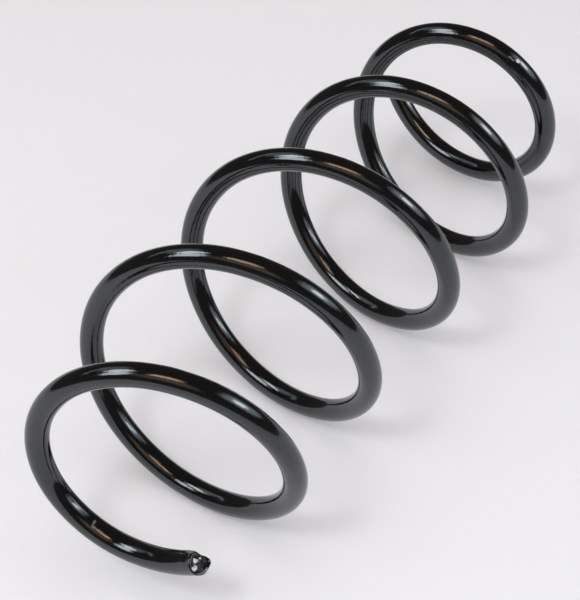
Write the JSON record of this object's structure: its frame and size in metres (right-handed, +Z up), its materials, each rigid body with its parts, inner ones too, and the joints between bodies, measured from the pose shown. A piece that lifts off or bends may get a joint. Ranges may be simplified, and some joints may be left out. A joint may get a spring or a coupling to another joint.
{
  "type": "coil spring",
  "caption": "Open-ended suspension coil spring of round steel bar, right-hand wound, slightly barrel-shaped with a small tail coil, gloss black coated.",
  "frame": {"origin": "middle of the bounding box, on the floor the spring lies on", "axes": "+X along the spring from its lower end to its upper end, +Z up, the spring lying on its side in its stable pose"},
  "size_m": [0.4122, 0.1662, 0.1552],
  "materials": {
    "coated_bar": "gloss black powder coat over hardened steel",
    "sheared_steel": "torn, thinly coated steel of the sheared tips"
  },
  "bodies": {
    "lower_end": {"lower_end_coil": "coated_bar"},
    "coil_1_right": {"active_coil_1_right": "coated_bar"},
    "coil_1_left": {"active_coil_1_left": "coated_bar"},
    "coil_2_right": {"active_coil_2_right": "coated_bar"},
    "coil_2_left": {"active_coil_2_left": "coated_bar"},
    "coil_3_right": {"active_coil_3_right": "coated_bar"},
    "coil_3_left": {"active_coil_3_left": "coated_bar"},
    "coil_4_right": {"active_coil_4_right": "coated_bar"},
    "coil_4_left": {"active_coil_4_left": "coated_bar"},
    "upper_end": {"upper_end_coil": "coated_bar"}
  },
  "joints": [
    {"name": "compression", "type": "slide", "parent": "lower_end", "child": "upper_end", "axis": [-1, 0, 0], "range_m": [0, 0.175], "stiffness_N_per_m": 22000},
    {"name": "coil_1_right_slide", "type": "slide", "parent": "lower_end", "child": "coil_1_right", "axis": [-1, 0, 0], "range_m": [0, 0.0233]},
    {"name": "coil_1_left_slide", "type": "slide", "parent": "lower_end", "child": "coil_1_left", "axis": [-1, 0, 0], "range_m": [0, 0.0433]},
    {"name": "coil_2_right_slide", "type": "slide", "parent": "lower_end", "child": "coil_2_right", "axis": [-1, 0, 0], "range_m": [0, 0.0643]},
    {"name": "coil_2_left_slide", "type": "slide", "parent": "lower_end", "child": "coil_2_left", "axis": [-1, 0, 0], "range_m": [0, 0.0849]},
    {"name": "coil_3_right_slide", "type": "slide", "parent": "lower_end", "child": "coil_3_right", "axis": [-1, 0, 0], "range_m": [0, 0.1045]},
    {"name": "coil_3_left_slide", "type": "slide", "parent": "lower_end", "child": "coil_3_left", "axis": [-1, 0, 0], "range_m": [0, 0.1231]},
    {"name": "coil_4_right_slide", "type": "slide", "parent": "lower_end", "child": "coil_4_right", "axis": [-1, 0, 0], "range_m": [0, 0.1402]},
    {"name": "coil_4_left_slide", "type": "slide", "parent": "lower_end", "child": "coil_4_left", "axis": [-1, 0, 0], "range_m": [0, 0.1556]}
  ],
  "couplings": [
    {"joint": "coil_1_right_slide", "follows": "compression", "ratio": 0.122},
    {"joint": "coil_1_left_slide", "follows": "compression", "ratio": 0.236},
    {"joint": "coil_2_right_slide", "follows": "compression", "ratio": 0.356},
    {"joint": "coil_2_left_slide", "follows": "compression", "ratio": 0.474},
    {"joint": "coil_3_right_slide", "follows": "compression", "ratio": 0.586},
    {"joint": "coil_3_left_slide", "follows": "compression", "ratio": 0.692},
    {"joint": "coil_4_right_slide", "follows": "compression", "ratio": 0.79},
    {"joint": "coil_4_left_slide", "follows": "compression", "ratio": 0.878}
  ]
}
